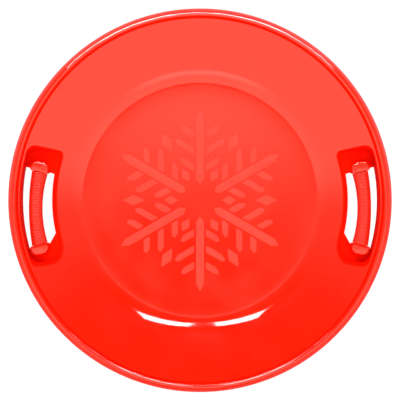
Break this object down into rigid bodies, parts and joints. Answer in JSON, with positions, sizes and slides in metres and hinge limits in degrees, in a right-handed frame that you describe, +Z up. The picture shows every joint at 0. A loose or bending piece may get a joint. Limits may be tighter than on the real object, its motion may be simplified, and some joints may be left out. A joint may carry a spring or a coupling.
{
  "type": "saucer sled",
  "caption": "Round moulded saucer sled: a shallow dish with a rolled rim, and on each side a ribbed hand grip sunk in a level-floored pocket.",
  "frame": {"origin": "on the ground under the middle of the dish", "axes": "+X to the rider's right, through the right handle; +Y to the front; +Z up out of the dish"},
  "size_m": [0.6, 0.6, 0.0752],
  "materials": {
    "dish_plastic": "glossy moulded polyethylene, red right through",
    "handle_plastic": "satin moulded polyethylene, red right through",
    "grip_plastic": "fine cross ribs, satin red",
    "screw_steel": "zinc-plated steel"
  },
  "bodies": {
    "root": {"saucer_shell": "dish_plastic", "right_handle_bridge": "handle_plastic", "left_handle_bridge": "handle_plastic", "right_grip_sleeve": "grip_plastic", "left_grip_sleeve": "grip_plastic", "right_handle_screws": "screw_steel", "left_handle_screws": "screw_steel"}
  },
  "joints": []
}
